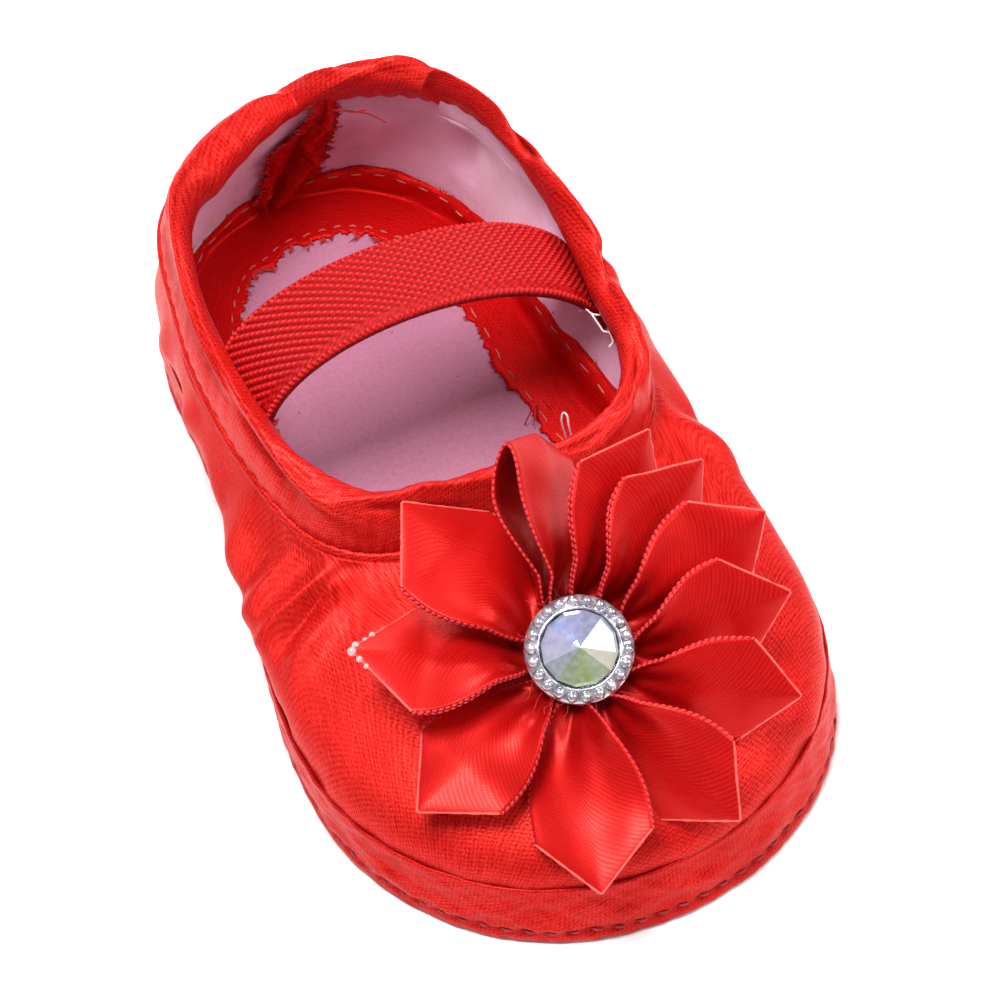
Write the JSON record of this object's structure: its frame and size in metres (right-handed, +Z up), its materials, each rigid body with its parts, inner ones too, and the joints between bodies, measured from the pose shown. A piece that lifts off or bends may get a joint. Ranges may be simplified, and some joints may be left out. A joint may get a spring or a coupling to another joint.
{
  "type": "baby shoe",
  "caption": "Soft-soled red satin baby shoe with an elastic instep strap, a gathered collar and a ribbon flower with a faceted stone on the toe.",
  "frame": {"origin": "on the floor, under the middle of the shoe's bounding box", "axes": "+Z up, toe along -Y and heel along +Y, X across the shoe"},
  "size_m": [0.0646, 0.1208, 0.04],
  "materials": {
    "satin": "red satin weave with a soft sheen",
    "band_satin": "red satin weave with a soft sheen",
    "elastic": "matt red ribbed elastic",
    "board": "matt mauve non-woven board",
    "ribbon_satin": "glossy red satin ribbon",
    "sole_fabric": "matt red fabric",
    "silver_plastic": "bright silvery clear plastic beads",
    "stone": "clear faceted stone with an iridescent coat"
  },
  "bodies": {
    "root": {"outsole": "sole_fabric", "insole": "board", "band": "band_satin", "upper": "satin", "collar_binding": "satin", "seam_tape": "satin", "back_seam_tape": "satin", "strap": "elastic", "petal_01": "ribbon_satin", "petal_02": "ribbon_satin", "petal_03": "ribbon_satin", "petal_04": "ribbon_satin", "petal_05": "ribbon_satin", "petal_06": "ribbon_satin", "petal_07": "ribbon_satin", "petal_08": "ribbon_satin", "petal_09": "ribbon_satin", "petal_10": "ribbon_satin", "petal_11": "ribbon_satin", "stone_setting": "silver_plastic", "stone": "stone"}
  },
  "joints": []
}
